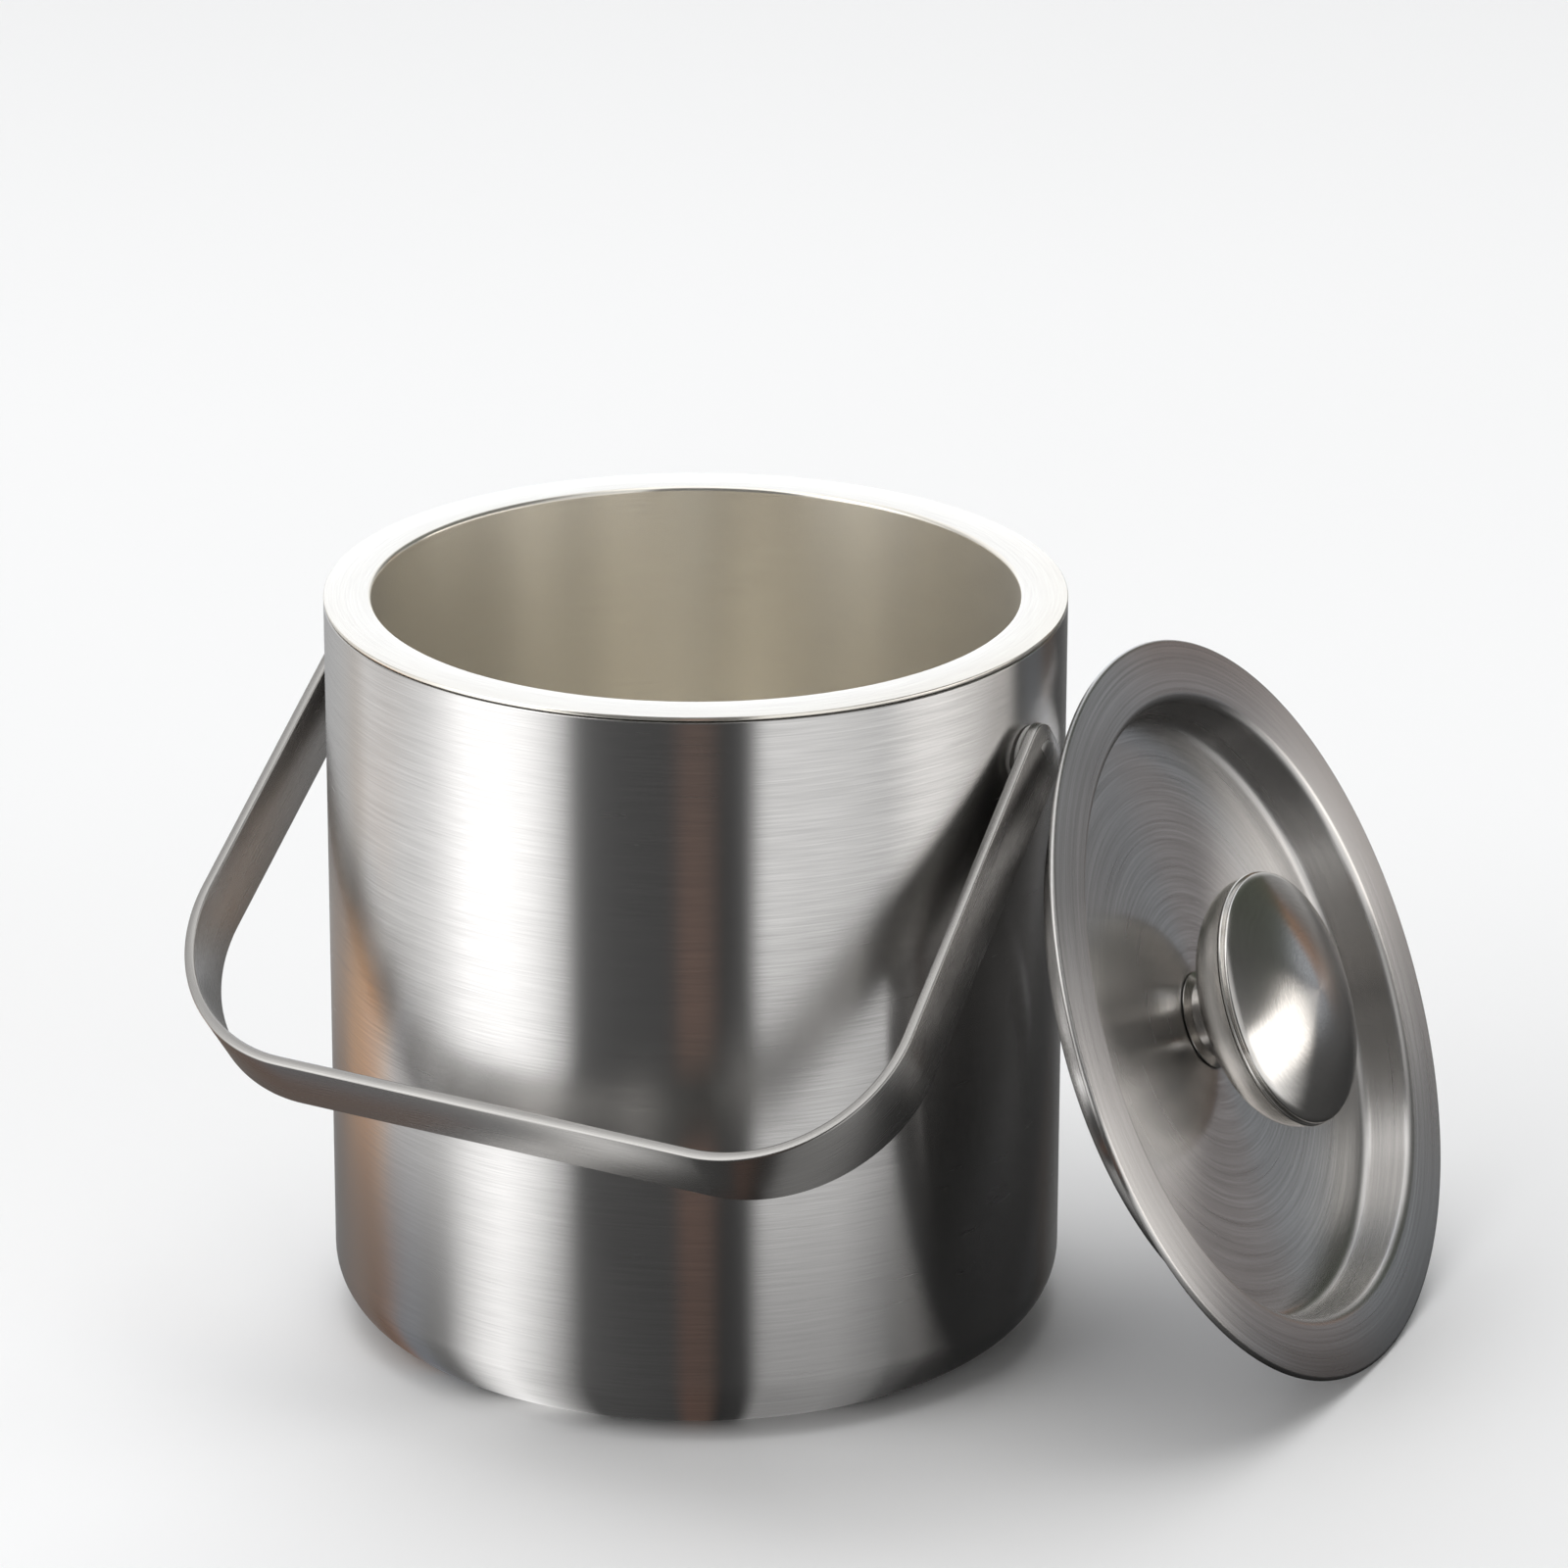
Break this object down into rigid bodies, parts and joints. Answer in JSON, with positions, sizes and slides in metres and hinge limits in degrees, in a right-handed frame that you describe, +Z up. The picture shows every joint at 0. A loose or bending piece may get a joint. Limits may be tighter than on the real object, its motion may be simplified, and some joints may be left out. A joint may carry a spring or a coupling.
{
  "type": "ice bucket",
  "caption": "Round double-walled steel ice bucket with a flat swinging bail handle and a dished lid with a domed knob.",
  "frame": {"origin": "centre of the base, on the surface that the bucket stands on", "axes": "+Z up; -Y towards the front, where the bail lies at rest; the bail pivots about a line along X, and the lid leans on the +X side"},
  "size_m": [0.2071, 0.1886, 0.1436],
  "materials": {
    "brushed_steel": "fine brushed grain",
    "satin_steel": "satin",
    "polished_steel": "turned and polished",
    "plain_steel": "plain mill",
    "nylon": "matt natural nylon"
  },
  "bodies": {
    "bucket": {"outer_shell": "brushed_steel", "inner_liner": "satin_steel", "base_plate": "plain_steel", "left_backing_plate": "plain_steel", "left_pivot_bush": "nylon", "left_spacer_washer": "nylon", "right_backing_plate": "plain_steel", "right_pivot_bush": "nylon", "right_spacer_washer": "nylon"},
    "bail": {"bail_strap": "brushed_steel", "left_pivot_pin": "plain_steel", "left_retaining_clip": "plain_steel", "right_pivot_pin": "plain_steel", "right_retaining_clip": "plain_steel"},
    "lid": {"lid_pan": "brushed_steel", "knob_cap": "polished_steel", "knob_bowl": "polished_steel", "knob_boss": "plain_steel", "knob_screw": "plain_steel", "knob_washer": "plain_steel"}
  },
  "joints": [
    {"name": "bail_swing", "type": "hinge", "parent": "bucket", "child": "bail", "pos_m": [0, 0, 0.1236], "axis": [-1, 0, 0], "range_deg": [0, 135]},
    {"name": "lid_lift", "type": "slide", "parent": "bucket", "child": "lid", "axis": [0.911, 0.0685, 0.4067], "range_m": [0, 0.12]}
  ]
}
